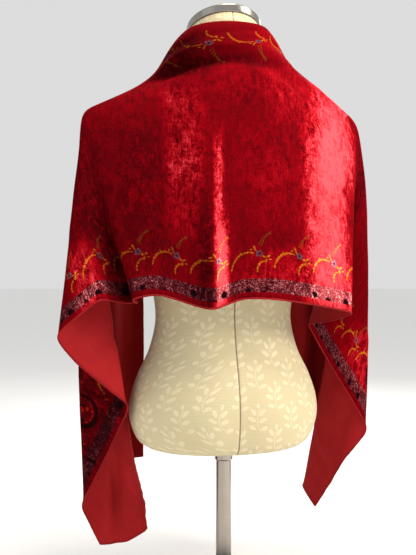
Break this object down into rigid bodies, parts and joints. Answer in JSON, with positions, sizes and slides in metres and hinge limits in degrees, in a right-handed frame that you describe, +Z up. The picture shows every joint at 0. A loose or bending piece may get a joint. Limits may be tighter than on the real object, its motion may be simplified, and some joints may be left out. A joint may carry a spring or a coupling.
{
  "type": "velvet scarf draped on a dress form",
  "caption": "Long velvet scarf folded round the neck and shoulders of a limbless dress form, its ends hanging in front, on a pole and round base.",
  "frame": {"origin": "middle of the base plate's underside, on the surface the stand is on", "axes": "+Z up; +Y is the dress form's front, so the scarf's back faces -Y; +X is to the right when looking along +Y"},
  "size_m": [0.5444, 0.3505, 0.9771],
  "materials": {
    "velvet": "crushed pile velvet with a printed border, matt reverse",
    "form_cover": "cream woven cover with a tone-on-tone pattern",
    "steel": "polished dark steel",
    "enamel": "satin black enamel"
  },
  "bodies": {
    "root": {"scarf_back": "velvet", "scarf_left_end": "velvet", "scarf_right_end": "velvet", "form_body": "form_cover", "neck_cap": "steel", "pole": "steel", "base_plate": "enamel"}
  },
  "joints": []
}
